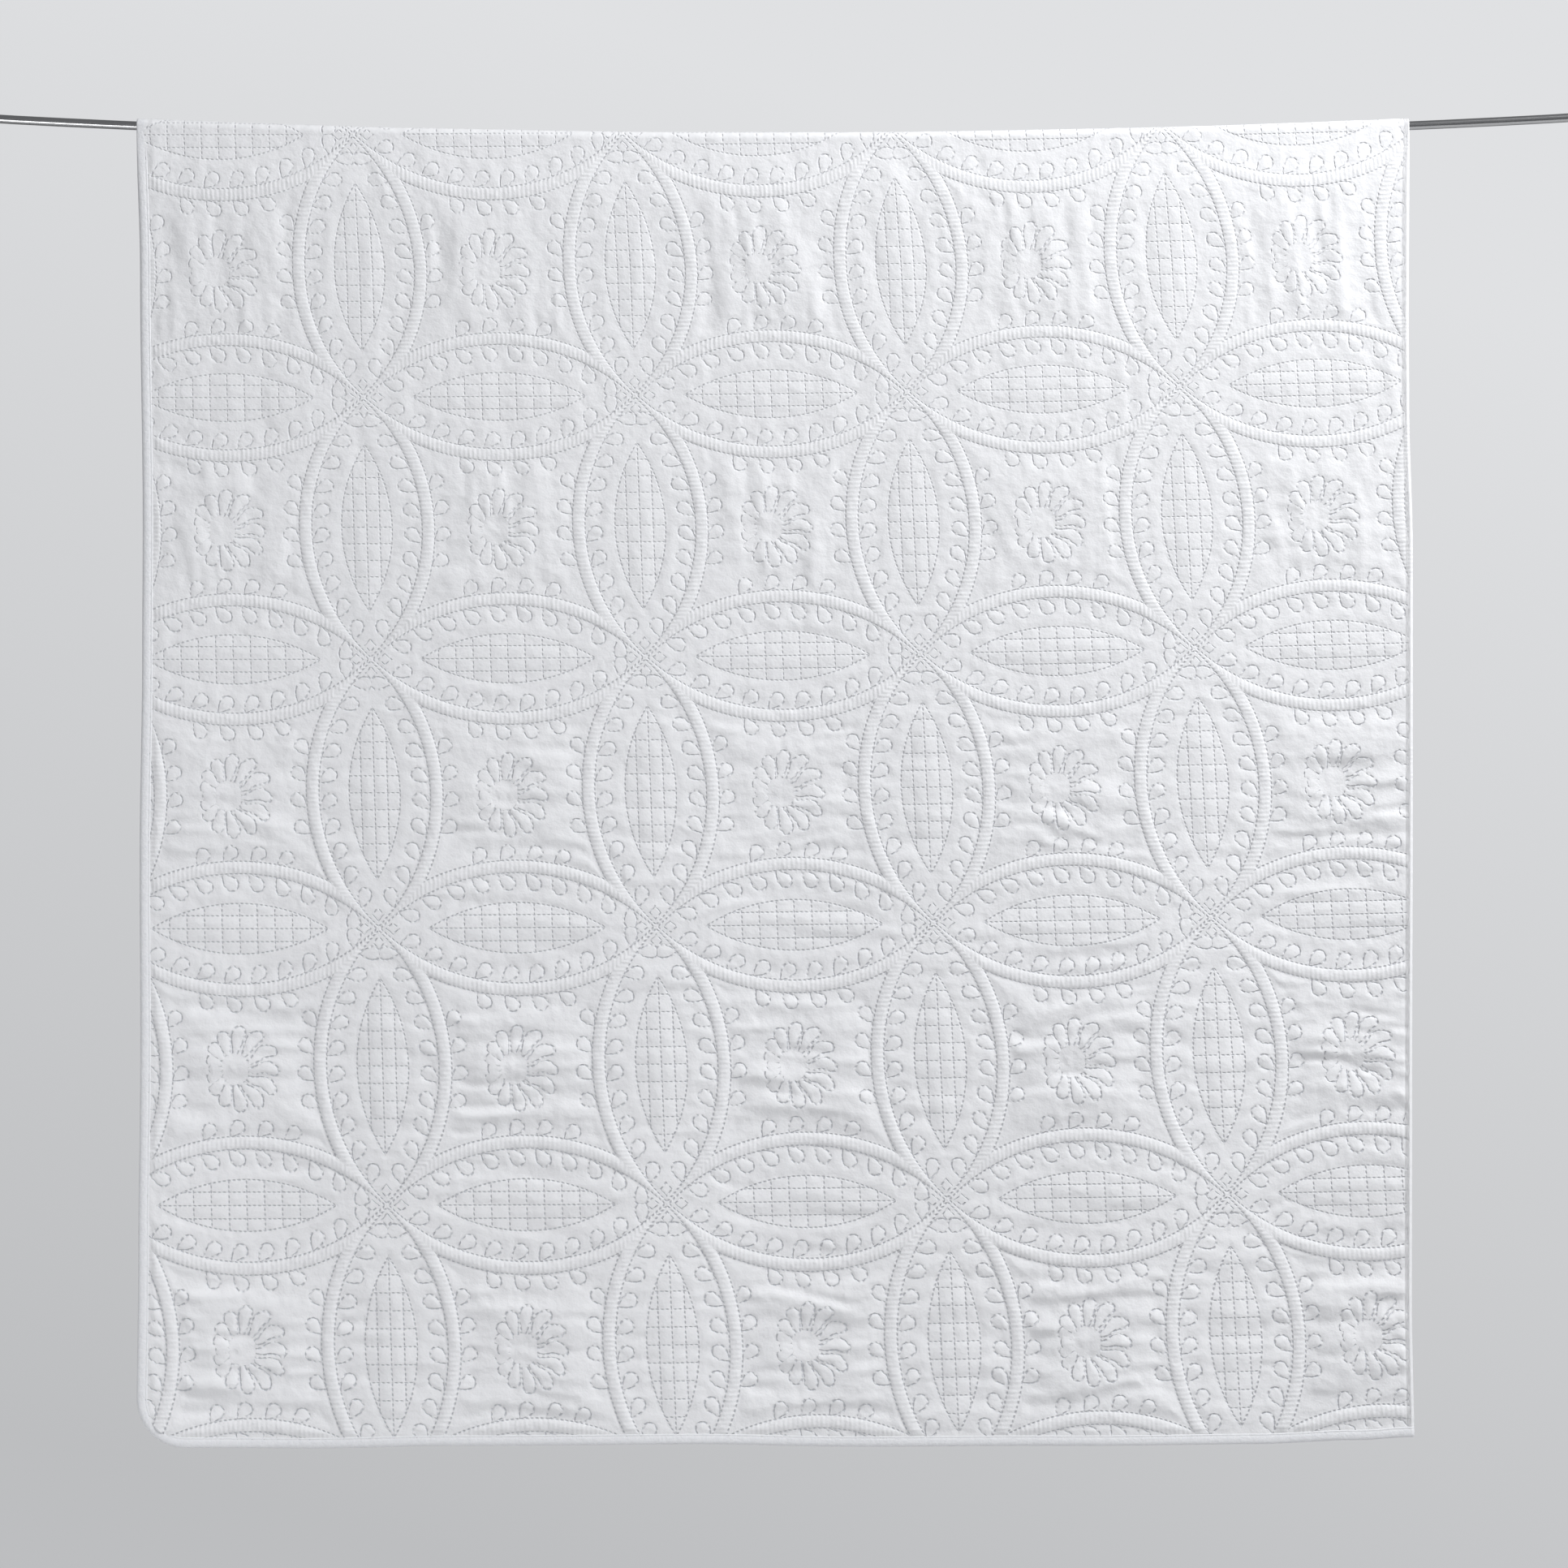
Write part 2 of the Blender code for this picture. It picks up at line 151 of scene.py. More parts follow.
def hem(a, front):
    back = np.maximum(0.0, a - foldEnd)
    share = np.where(a <= cloth["outerWidth"], a / cloth["outerWidth"], 1 - back / cloth["innerWidth"])
    x = cloth["leftX"] + (cloth["rightX"] - cloth["leftX"]) * share
    fall = fromTable(frontHem if front else backHem, "fall", share)
    fall = fall - 0.002 * smooth(back / 0.02)
    t = quarterTurn + rodHeight(x) + fall
    return t if front else -t


# The ring pattern, in which whole numbers of i and j are the points where four rings meet.
rings = {
    "x": 0.36474, "z": -0.25794, "column": 0.24890, "row": 0.23613,
    "columnLean": 0.00668, "columnSpread": 0.00245, "columnBend": 0.00021,
    "rowStretch": 0.00342, "rowTilt": 0.00098, "rowBow": 0.00078, "plainRow": -1.0,
    "topRise": 0.0083, "topLean": -0.0036,    # how far the topmost row is drawn up and over by the rod
}
quilting = {                                  # radii in shares of the ring spacing, heights in metres
    "bandInner": 0.702, "bandOuter": 0.748, "lensEdge": 0.5925,
    "bandHeight": 0.0016, "lensHeight": 0.0011, "squareHeight": 0.0016,
    "hatchAlong": 0.0476, "hatchAcross": 0.0632, "hatchHeight": 0.0006,
    "leafHeight": 0.0007, "betweenHeight": 0.0005, "puffReach": 0.0030,
    "crease": 0.0021, "pucker": 0.0002, "comb": 0.00030,
    "topShare": 0.50,                         # the cloth's own weight draws the top rows flatter
    "fade": 0.006,
}
ringMm = 249                                  # the ring spacing, and so one unit of i


def ringPoint(i, j):
    row = np.maximum(j, rings["plainRow"])
    x = (rings["x"] + rings["column"] * i + (rings["columnLean"] + rings["columnSpread"] * i) * row
         + rings["columnBend"] * row * row)
    stretch = np.where(j > rings["plainRow"], j * j, rings["plainRow"] * (2 * j - rings["plainRow"]))
    z = (rings["z"] - rings["row"] * j - rings["rowStretch"] * stretch
         + rings["rowTilt"] * i + rings["rowBow"] * i * i)
    top = np.clip((-0.5 - j) / 0.5, 0, 1)
    return x + rings["topLean"] * top, z + rings["topRise"] * top


def ringPlace(x, z):
    j = (rings["z"] - z) / rings["row"]
    i = (x - rings["x"]) / rings["column"]
    for step in range(8):
        foundX, foundZ = ringPoint(i, j)
        i = i + (x - foundX) / rings["column"]
        j = j - (z - foundZ) / rings["row"]
    return i, j


# Each row is one sum: name, operation, and what it works on. The mesh and the materials both use them.
cellSums = [
    ("iShare", "FRACT", "i"), ("f", "SUBTRACT", "iShare", 0.5), ("fSize", "ABSOLUTE", "f"),
    ("jShare", "FRACT", "j"), ("g", "SUBTRACT", "jShare", 0.5), ("gSize", "ABSOLUTE", "g"),
    ("most", "MAXIMUM", "fSize", "gSize"),
    ("level", "GREATER_THAN", "gSize", "fSize"),          # 1 by a lens that lies level
    ("upright", "SUBTRACT", 1.0, "level"),
    ("alongLevel", "MULTIPLY", "level", "f"), ("alongUpright", "MULTIPLY", "upright", "g"),
    ("along", "SUBTRACT", "alongLevel", "alongUpright"),
    ("across", "SUBTRACT", 1.0, "most"),
    ("alongSquare", "MULTIPLY", "along", "along"), ("acrossSquare", "MULTIPLY", "across", "across"),
    ("ringSquare", "ADD", "alongSquare", "acrossSquare"),
    ("ring", "SQRT", "ringSquare"),                        # from the centre of the ring next door
    ("turn", "ARCTAN2", "along", "across"),
]


# a row of slanted teardrops whose points stand on a ring
def leafSums(name, line, outwards, spacing, least, most, slant, length, width):
    deep = ("ring", line) if outwards else (line, "ring")
    middle = line + (0.03 if outwards else -0.04)
    s, c = math.sin(math.radians(slant)), math.cos(math.radians(slant))
    return [
        (name + "From", "SUBTRACT", "turn", 0.09),
        (name + "Count", "DIVIDE", name + "From", spacing), (name + "Whole", "ROUND", name + "Count"),
        (name + "Low", "MAXIMUM", name + "Whole", least), (name + "Number", "MINIMUM", name + "Low", most),
        (name + "Middle", "MULTIPLY", name + "Number", spacing),
        (name + "Off", "SUBTRACT", name + "From", name + "Middle"),
        (name + "Aside", "MULTIPLY", name + "Off", middle),
        (name + "Side", "ADD", name + "Aside", s * length / 2),
        (name + "Deep", "SUBTRACT", *deep),
        (name + "UA", "MULTIPLY", name + "Side", s / length),
        (name + "UB", "MULTIPLY", name + "Deep", c / length),
        (name + "U", "ADD", name + "UA", name + "UB"),
        (name + "VA", "MULTIPLY", name + "Side", 2 * c / width),
        (name + "VB", "MULTIPLY", name + "Deep", 2 * s / width),
        (name + "V", "SUBTRACT", name + "VA", name + "VB"),
        (name + "VV", "MULTIPLY", name + "V", name + "V"),
        (name + "UU", "MULTIPLY", name + "U", name + "U"),
        (name + "Rest", "SUBTRACT", 1.0, name + "U"),
        (name + "Bulb", "MULTIPLY", name + "UU", name + "Rest"),
        (name + "Body", "MULTIPLY", name + "Bulb", 6.76),
        (name + "Fill", "SUBTRACT", name + "Body", name + "VV"),     # over 0 inside the leaf
        (name + "Ahead", "GREATER_THAN", name + "U", 0.0),
        (name + "VSize", "ABSOLUTE", name + "V"),
        (name + "Slope1", "MULTIPLY", name + "VSize", 2.0),
        (name + "Slope2", "MULTIPLY", name + "U", 2.2),
        (name + "Slope3", "MAXIMUM", name + "Slope1", name + "Slope2"),
        (name + "Slope", "MAXIMUM", name + "Slope3", 0.15),
        (name + "Depth", "DIVIDE", name + "Fill", name + "Slope"),   # about the way in from its outline
    ]


leafWidth = 0.048
leafA = leafSums("leaf", quilting["bandInner"], False, 0.1410, -5, 4, 38, 0.074, leafWidth)
leafB = leafSums("spray", quilting["bandOuter"], True, 0.1300, -2, 1, 42, 0.068, leafWidth)
budSums = [                                   # a diamond in each lens tip
    ("alongSize", "ABSOLUTE", "along"), ("tip", "SUBTRACT", 0.5, "alongSize"), ("off", "SUBTRACT", 0.5, "most"),
    ("budA1", "SUBTRACT", "tip", 0.052), ("budA2", "ABSOLUTE", "budA1"), ("budA", "DIVIDE", "budA2", 0.024),
    ("budB", "DIVIDE", "off", 0.020), ("budC", "ADD", "budA", "budB"), ("bud", "SUBTRACT", 1.0, "budC"),
]
flower = {                                    # shares of the ring spacing
    "f": -0.043, "g": 0.010, "petals": 14, "length": 0.125, "taller": 0.024, "righter": 0.046,
    "width": 0.046, "wavy": 0.30,
}
flowerSums = [
    ("fromF", "SUBTRACT", "f", flower["f"]), ("fromG", "SUBTRACT", "g", flower["g"]),
    ("fromFF", "MULTIPLY", "fromF", "fromF"), ("fromGG", "MULTIPLY", "fromG", "fromG"),
    ("reachSquare", "ADD", "fromFF", "fromGG"), ("reach", "SQRT", "reachSquare"),
    ("bearing", "ARCTAN2", "fromG", "fromF"),
    ("petalCount", "DIVIDE", "bearing", 2 * math.pi / flower["petals"]), ("petalNumber", "ROUND", "petalCount"),
    ("petalMiddle", "MULTIPLY", "petalNumber", 2 * math.pi / flower["petals"]),
    ("petalOff", "SUBTRACT", "bearing", "petalMiddle"),
    ("petalUp", "SINE", "petalMiddle"), ("petalUpSize", "ABSOLUTE", "petalUp"),
    ("petalRight", "COSINE", "petalMiddle"), ("petalMore1", "MULTIPLY", "petalUpSize", flower["taller"]),
    ("petalMore2", "MULTIPLY", "petalRight", flower["righter"]), ("petalMore", "ADD", "petalMore1", "petalMore2"),
    ("petalLength", "ADD", "petalMore", flower["length"]),
    ("petalCos", "COSINE", "petalOff"), ("petalSin", "SINE", "petalOff"),
    ("petalA", "MULTIPLY", "reach", "petalCos"), ("petalU", "DIVIDE", "petalA", "petalLength"),
    ("petalB", "MULTIPLY", "reach", "petalSin"), ("petalStraight", "MULTIPLY", "petalB", 2 / flower["width"]),
    ("petalWavy1", "MAXIMUM", "petalRight", 0.0),
    ("petalBend1", "MULTIPLY", "petalU", 11.0), ("petalBend2", "SINE", "petalBend1"),
    ("petalBend3", "MULTIPLY", "petalBend2", "petalWavy1"), ("petalBend", "MULTIPLY", "petalBend3", flower["wavy"]),
    ("petalV", "ADD", "petalStraight", "petalBend"), ("petalVSize", "ABSOLUTE", "petalV"),
    ("petalVV", "MULTIPLY", "petalV", "petalV"), ("petalUU", "MULTIPLY", "petalU", "petalU"),
    ("petalRest", "SUBTRACT", 1.0, "petalU"), ("petalFourth", "MULTIPLY", "petalUU", "petalUU"),
    ("petalBulb", "MULTIPLY", "petalFourth", "petalRest"),
    ("petalBody", "MULTIPLY", "petalBulb", 12.2), ("petal", "SUBTRACT", "petalBody", "petalVV"),
    ("petalSlope1", "MULTIPLY", "petalVSize", 2.0), ("petalSlope2", "MULTIPLY", "petalU", 1.9),
    ("petalSlope3", "MAXIMUM", "petalSlope1", "petalSlope2"), ("petalSlope", "MAXIMUM", "petalSlope3", 0.15),
    ("petalDepth", "DIVIDE", "petal", "petalSlope"),
]
patternSums = cellSums + leafA + leafB + budSums + flowerSums
tools = {
    "ADD": np.add, "SUBTRACT": np.subtract, "MULTIPLY": np.multiply, "DIVIDE": np.divide,
    "MINIMUM": np.minimum, "MAXIMUM": np.maximum, "ABSOLUTE": np.abs, "SQRT": np.sqrt,
    "ARCTAN2": np.arctan2, "SINE": np.sin, "COSINE": np.cos,
    "FRACT": lambda v: v - np.floor(v), "ROUND": np.round,
    "GREATER_THAN": lambda p, q: (p > q) * 1.0,
}


def patternAt(i, j):
    found = {"i": i, "j": j}
    for name, operation, *inputs in patternSums:
        found[name] = tools[operation](*[found[v] if isinstance(v, str) else v for v in inputs])
    return found


# a smooth, seeded unevenness from -1 to 1 with one hump to a unit
def softNoise(u, v, seed):
    table = np.random.default_rng(seed).uniform(-1, 1, (61, 61))
    column, row = np.floor(u).astype(int), np.floor(v).astype(int)
    right, down = smooth(u - column), smooth(v - row)
    c0, c1, r0, r1 = column % 61, (column + 1) % 61, row % 61, (row + 1) % 61
    above = table[r0, c0] * (1 - right) + table[r0, c1] * right
    below = table[r1, c0] * (1 - right) + table[r1, c1] * right
    return above * (1 - down) + below * down


# soft folds, upright near the rod and level lower down, and the small puckers over them
def creases(i, j):
    low = smooth((j + 0.4) / 2.4)
    bentI, bentJ = i + 0.06 * softNoise(i * 3, j * 3, 5), j + 0.06 * softNoise(i * 3, j * 3, 6)
    tall = softNoise(bentI * 17, bentJ * 3.6, 1) + 0.45 * softNoise(bentI * 33, bentJ * 6, 2)
    wide = softNoise(bentI * 3.8 + bentJ, bentJ * 19, 3) + 0.45 * softNoise(bentI * 6.5, bentJ * 37, 4)
    return tall * (1 - low) + wide * low, softNoise(bentI * 27, bentJ * 27, 7)


# how far the quilting stands out of the outer layer, with its place in the pattern
def relief(a, t):
    left, centre = edgesOfDrop(t)
    x = left + (centre - left) * np.minimum(a, cloth["outerWidth"]) / cloth["outerWidth"]
    i, j = ringPlace(x, rodHeight(x) + quarterTurn - t)
    p = patternAt(i, j)
    ring = p["ring"]
    fold, pucker = creases(i, j)
    squareCrease = quilting["crease"] * fold + quilting["pucker"] * pucker
    combed = quilting["comb"] * softNoise(p["turn"] * ring / 0.021 + 7, ring / 0.05, 8)
    half = (quilting["bandOuter"] - quilting["bandInner"]) / 2
    band = np.clip(1 - ((ring - quilting["bandInner"] - half) / half) ** 2, 0, 1)
    height = quilting["bandHeight"] * np.sqrt(band) * (1 + 0.15 * pucker) + combed * band

    def puffed(name, size, ahead):
        # raised on both sides of a stitched outline
        rise = smooth(np.abs(p[name + "Depth"]) * size / 2 * (ringMm / 1000) / quilting["puffReach"])
        inside = np.where(p[name + "Depth"] > 0, quilting["leafHeight"], quilting["betweenHeight"])
        return np.where(ahead, inside * rise, quilting["betweenHeight"])

    lens = ring < quilting["lensEdge"]
    cells = np.abs(np.sin(math.pi * (p["most"] - 0.5) / quilting["hatchAlong"])
                   * np.sin(math.pi * p["along"] / quilting["hatchAcross"]))
    pillow = quilting["lensHeight"] * smooth((quilting["lensEdge"] - ring) / 0.07)
    pillow = pillow + quilting["hatchHeight"] * np.sqrt(cells) + 0.35 * squareCrease
    height = np.where(lens, pillow, height)
    square = ring > quilting["bandOuter"]
    ground = quilting["squareHeight"] * smooth((ring - quilting["bandOuter"]) / 0.14)
    nearFlower = p["reach"] < p["petalLength"] * 1.25
    stitched = np.where(nearFlower, puffed("petal", flower["width"], p["petalU"] > 0.1),
                        puffed("spray", leafWidth, p["sprayAhead"] > 0))
    ground = ground + stitched * smooth((ring - quilting["bandOuter"]) / 0.012)
    ground = ground + (squareCrease + combed) * smooth((ring - quilting["bandOuter"]) / 0.05)
    height = np.where(square, ground, height)
    border = (ring > quilting["lensEdge"]) & (ring < quilting["bandInner"])
    inBorder = smooth((quilting["bandInner"] - ring) / 0.014) * smooth((ring - quilting["lensEdge"]) / 0.02)
    between = puffed("leaf", leafWidth, p["leafAhead"] > 0)
    between = between + 0.7 * quilting["leafHeight"] * np.sqrt(np.clip(p["bud"], 0, 0.6))
    between = between * inBorder + (0.5 * squareCrease + combed) * smooth((quilting["bandInner"] - ring) / 0.03)
    height = np.where(border, between, height)
    node = smooth(np.hypot(i - np.round(i), j - np.round(j)) / 0.22)
    height = height * (0.25 + 0.75 * node)    # stitched flat where four rings meet
    edge = np.abs(np.where(t > 0, hem(a, True), hem(a, False))) - np.abs(t)
    rim = np.minimum(np.minimum(a, edge) - cloth["bindingWidth"], cloth["outerWidth"] - a)
    crest = 0.35 + 0.65 * smooth((np.abs(t) - 0.006) / 0.03)
    height = height * (quilting["topShare"] + (1 - quilting["topShare"]) * smooth(np.abs(t) / 1.1))
    return height * smooth(rim / quilting["fade"]) * crest, i, j


def linear(hexColour):
    channels = [int(hexColour[k:k + 2], 16) / 255 for k in (1, 3, 5)]
    return tuple(c / 12.92 if c <= 0.04045 else ((c + 0.055) / 1.055) ** 2.4 for c in channels) + (1.0,)


def addMesh(name, points, quads, look, normals=None, unwrap=None, places=None):
    points = np.asarray(points, float).reshape(-1, 3)
    quads = np.asarray(quads).reshape(-1, 4)
    mesh = bpy.data.meshes.new(name)
    mesh.vertices.add(len(points))
    mesh.vertices.foreach_set("co", points.ravel())
    mesh.loops.add(quads.size)
    mesh.loops.foreach_set("vertex_index", quads.ravel())
    mesh.polygons.add(len(quads))
    mesh.polygons.foreach_set("loop_start", np.arange(len(quads)) * 4)
    mesh.update()
    mesh.validate()
    mesh.shade_smooth()
    if unwrap is not None:
        layer = mesh.uv_layers.new(name="OFBake")
        layer.data.foreach_set("uv", np.asarray(unwrap, float).reshape(-1, 2)[quads.ravel()].ravel())
    if places is not None:
        layer = mesh.attributes.new("place", "FLOAT_VECTOR", "POINT")
        layer.data.foreach_set("vector", np.asarray(places, float).reshape(-1, 3).ravel())
    if normals is not None:
        mesh.normals_split_custom_set_from_vertices(np.asarray(normals, float).reshape(-1, 3))
    mesh.materials.append(look)
    made = bpy.data.objects.new(name, mesh)
    bpy.context.scene.collection.objects.link(made)
    return made


def gridQuads(rows, columns, flipped=False):
    r, c = np.meshgrid(np.arange(rows - 1), np.arange(columns - 1), indexing="ij")
    first = r * columns + c
    quads = np.stack([first, first + columns, first + columns + 1, first + 1], axis=-1).reshape(-1, 4)
    return quads[:, ::-1] if flipped else quads


def gridNormals(points):
    down = np.gradient(points, axis=0)
    right = np.gradient(points, axis=1)
    found = np.cross(down, right)
    return found / np.maximum(np.linalg.norm(found, axis=-1, keepdims=True), 1e-12)


def steps(start, end, spacing):
    return np.linspace(start, end, max(2, int(round(abs(end - start) / spacing)) + 1))


# One node with its settings. Each input is a value or a socket: n0 is the first, and Map_Range is Map Range.
def addNode(tree, kind, settings=None, **links):
    made = tree.nodes.new(kind)
    for name, value in (settings or {}).items():
        setattr(made, name, value)
    for key, value in links.items():
        numbered = key[0] == "n" and key[1:].isdigit()
        socket = made.inputs[int(key[1:]) if numbered else key.replace("_", " ")]
        if isinstance(value, bpy.types.NodeSocket):
            tree.links.new(value, socket)
        else:
            socket.default_value = value
    return made


# the sums as Math nodes
def addSums(tree, sums, known):
    for name, operation, *inputs in sums:
        values = {"n%d" % k: known[v] if isinstance(v, str) else float(v) for k, v in enumerate(inputs)}
        known[name] = addNode(tree, "ShaderNodeMath", {"operation": operation}, **values).outputs[0]
    return known


# Cotton percale quilted by machine over a thin cotton batting: matt, soft white, faintly uneven.
# Its shade colour is painted shade: the needle holes along the stitched lines are darkened towards it.
cottonLook = {
    "colour": "#edeef1", "paintedShadeAndTone": "#cfd2d9", "roughness": 0.92, "sheen": 0.25,
    "threadMm": 1.6, "cordMm": 4.2,
    "stitchMm": 4.4,                          # about 3 mm on the quilt, drawn longer so that each one shows
}
bindingLook = {"colour": "#eff0f3", "paintedShadeAndTone": "#e2e4e9", "roughness": 0.88, "sheen": 0.2}
# Steel bar, centreless ground and polished: a sharp, slightly drawn-out mirror.
steelLook = {"colour": "#c9cacc", "roughness": 0.2, "scratchMm": 0.4}


def quiltedCotton():
    look = bpy.data.materials.new("quiltedCottonPercale")
    look.use_nodes = True
    tree = look.node_tree
    shader = tree.nodes["Principled BSDF"]
    shader.inputs["Roughness"].default_value = cottonLook["roughness"]
    shader.inputs["Sheen Weight"].default_value = cottonLook["sheen"]
    shader.inputs["Sheen Roughness"].default_value = 0.5
    place = addNode(tree, "ShaderNodeAttribute", {"attribute_name": "place"})
    split = addNode(tree, "ShaderNodeSeparateXYZ", None, Vector=place.outputs["Vector"])
    known = {"i": split.outputs[0], "j": split.outputs[1], "amount": split.outputs[2]}
    addSums(tree, patternSums, known)
    stitch = ringMm / cottonLook["stitchMm"] * math.pi
    lineSums = [("run", "MULTIPLY", "turn", "ring")]
    for name in ("run", "along", "most", "i", "j"):      # one needle hole to a stitch along each line
        lineSums += [(name + "Beat1", "MULTIPLY", name, stitch), (name + "Beat2", "SINE", name + "Beat1"),
                     (name + "Beat", "MULTIPLY", name + "Beat2", name + "Beat2")]
    for name, line in (("inner", "bandInner"), ("outer", "bandOuter"), ("edge", "lensEdge")):
        radius = quilting[line]
        lineSums += [(name + "From", "SUBTRACT", "ring", radius), (name + "Far", "ABSOLUTE", name + "From"),
                     (name + "Near", "DIVIDE", name + "Far", 0.0042), (name + "Line", "SUBTRACT", 1.0, name + "Near")]
    lineSums += [
        ("rings1", "MAXIMUM", "innerLine", "outerLine"), ("rings2", "MAXIMUM", "rings1", "edgeLine"),
        ("rings3", "MAXIMUM", "rings2", 0.0), ("ringLine", "MULTIPLY", "rings3", "runBeat"),
        ("hatchA1", "SUBTRACT", "most", 0.5), ("hatchA2", "DIVIDE", "hatchA1", quilting["hatchAlong"]),
        ("hatchA3", "FRACT", "hatchA2"), ("hatchA4", "SUBTRACT", "hatchA3", 0.5), ("hatchA5", "ABSOLUTE", "hatchA4"),
        ("hatchA6", "SUBTRACT", "hatchA5", 0.5 - 0.08), ("hatchA7", "DIVIDE", "hatchA6", 0.08),
        ("hatchB2", "DIVIDE", "along", quilting["hatchAcross"]),
        ("hatchB3", "FRACT", "hatchB2"), ("hatchB4", "SUBTRACT", "hatchB3", 0.5), ("hatchB5", "ABSOLUTE", "hatchB4"),
        ("hatchB6", "SUBTRACT", "hatchB5", 0.5 - 0.06), ("hatchB7", "DIVIDE", "hatchB6", 0.06),
        ("hatchA8", "MAXIMUM", "hatchA7", 0.0), ("hatchA", "MULTIPLY", "hatchA8", "alongBeat"),
        ("hatchB8", "MAXIMUM", "hatchB7", 0.0), ("hatchB", "MULTIPLY", "hatchB8", "mostBeat"),
        ("hatch2", "MAXIMUM", "hatchA", "hatchB"),
        ("inLens", "GREATER_THAN", quilting["lensEdge"], "ring"), ("hatchLine", "MULTIPLY", "hatch2", "inLens"),
        ("leafSize", "ABSOLUTE", "leafDepth"), ("leafNear", "DIVIDE", "leafSize", 0.22),
        ("leafLine1", "SUBTRACT", 1.0, "leafNear"),
        ("leafLine2", "MAXIMUM", "leafLine1", 0.0), ("leafLine3", "MULTIPLY", "leafLine2", "leafAhead"),
        ("pastEdge", "GREATER_THAN", "ring", quilting["lensEdge"]),
        ("beforeBand", "GREATER_THAN", quilting["bandInner"], "ring"),
        ("inBorder", "MULTIPLY", "pastEdge", "beforeBand"),
        ("budSize", "ABSOLUTE", "bud"), ("budNear", "DIVIDE", "budSize", 0.22),
        ("budLine1", "SUBTRACT", 1.0, "budNear"),
        ("tipLine2", "MAXIMUM", "budLine1", "leafLine3"), ("leafLine", "MULTIPLY", "tipLine2", "inBorder"),
        ("spraySize", "ABSOLUTE", "sprayDepth"), ("sprayNear", "DIVIDE", "spraySize", 0.22),
        ("sprayLine1", "SUBTRACT", 1.0, "sprayNear"),
        ("sprayLine2", "MAXIMUM", "sprayLine1", 0.0), ("sprayLine3", "MULTIPLY", "sprayLine2", "sprayAhead"),
        ("inSquare", "GREATER_THAN", "ring", quilting["bandOuter"]),
        ("sprayLine", "MULTIPLY", "sprayLine3", "inSquare"),
        ("petalSize", "ABSOLUTE", "petalDepth"), ("petalNear", "DIVIDE", "petalSize", 0.24),
        ("petalLine1", "SUBTRACT", 1.0, "petalNear"),
        ("petalLine2", "MAXIMUM", "petalLine1", 0.0), ("petalLine3", "MULTIPLY", "petalLine2", "inSquare"),
        ("petalAhead", "GREATER_THAN", "petalU", 0.36), ("petalLine", "MULTIPLY", "petalLine3", "petalAhead"),
        ("curved1", "MAXIMUM", "leafLine", "sprayLine"), ("curved2", "MAXIMUM", "curved1", "petalLine"),
        ("beat1", "ADD", "iBeat", "jBeat"), ("beat2", "SUBTRACT", "beat1", 0.4), ("beat3", "MAXIMUM", "beat2", 0.0),
        ("beat", "MINIMUM", "beat3", 1.0), ("curvedLine", "MULTIPLY", "curved2", "beat"),
        ("line1", "MAXIMUM", "ringLine", "hatchLine"), ("line", "MAXIMUM", "line1", "curvedLine"),
        # the stitched lines, dashed by a needle hole at each stitch and weaker near the rod: they sink the bump, and
        # darken the colour as painted shade in the holes
        ("grooveAndPaintedShade", "MULTIPLY", "line", "amount"),
        # small puckers across the corded rings
        ("cordRun2", "MULTIPLY", "run", ringMm / cottonLook["cordMm"] * 2 * math.pi),
        ("cordRun", "SINE", "cordRun2"),
        ("inBand1", "SUBTRACT", "inSquare", "beforeBand"), ("inBand2", "ABSOLUTE", "inBand1"),
        ("inBand", "SUBTRACT", 1.0, "inBand2"),
        ("cordPucker", "MULTIPLY", "cordRun", "inBand"),
    ]
    addSums(tree, lineSums, known)
    # threads, drawn about three times as coarse as percale's half millimetre so that they show
    spread = ringMm / cottonLook["threadMm"]
    here = place.outputs["Vector"]
    weave = addNode(tree, "ShaderNodeTexNoise", None, Vector=here, Scale=spread, Detail=2.0)
    pucker = addNode(tree, "ShaderNodeTexNoise", None, Vector=here, Scale=30.0, Detail=3.0, Roughness=0.5)
    known["weave"], known["pucker"] = weave.outputs[0], pucker.outputs[0]
    addSums(tree, [
        ("weaveMm", "MULTIPLY", "weave", 0.14), ("puckerMm", "MULTIPLY", "pucker", 0.9),
        ("soft1", "ADD", "weaveMm", "puckerMm"), ("cordPart", "MULTIPLY", "cordPucker", "pucker"),
        ("cordMm", "MULTIPLY", "cordPart", 0.16), ("soft", "ADD", "soft1", "cordMm"),
        ("grooveMm", "MULTIPLY", "grooveAndPaintedShade", 1.0), ("heightMm", "SUBTRACT", "soft", "grooveMm"),
    ], known)
    bump = addNode(tree, "ShaderNodeBump", None, Strength=1.0, Distance=0.001, Height=known["heightMm"])
    tree.links.new(bump.outputs["Normal"], shader.inputs["Normal"])
    # painted shade: the stitched lines and their needle holes are mixed towards the darker colour
    blend = addNode(tree, "ShaderNodeMix", {"data_type": "RGBA"}, n0=known["grooveAndPaintedShade"],
                    n6=linear(cottonLook["colour"]), n7=linear(cottonLook["paintedShadeAndTone"]))
    tree.links.new(blend.outputs[2], shader.inputs["Base Color"])
    return look


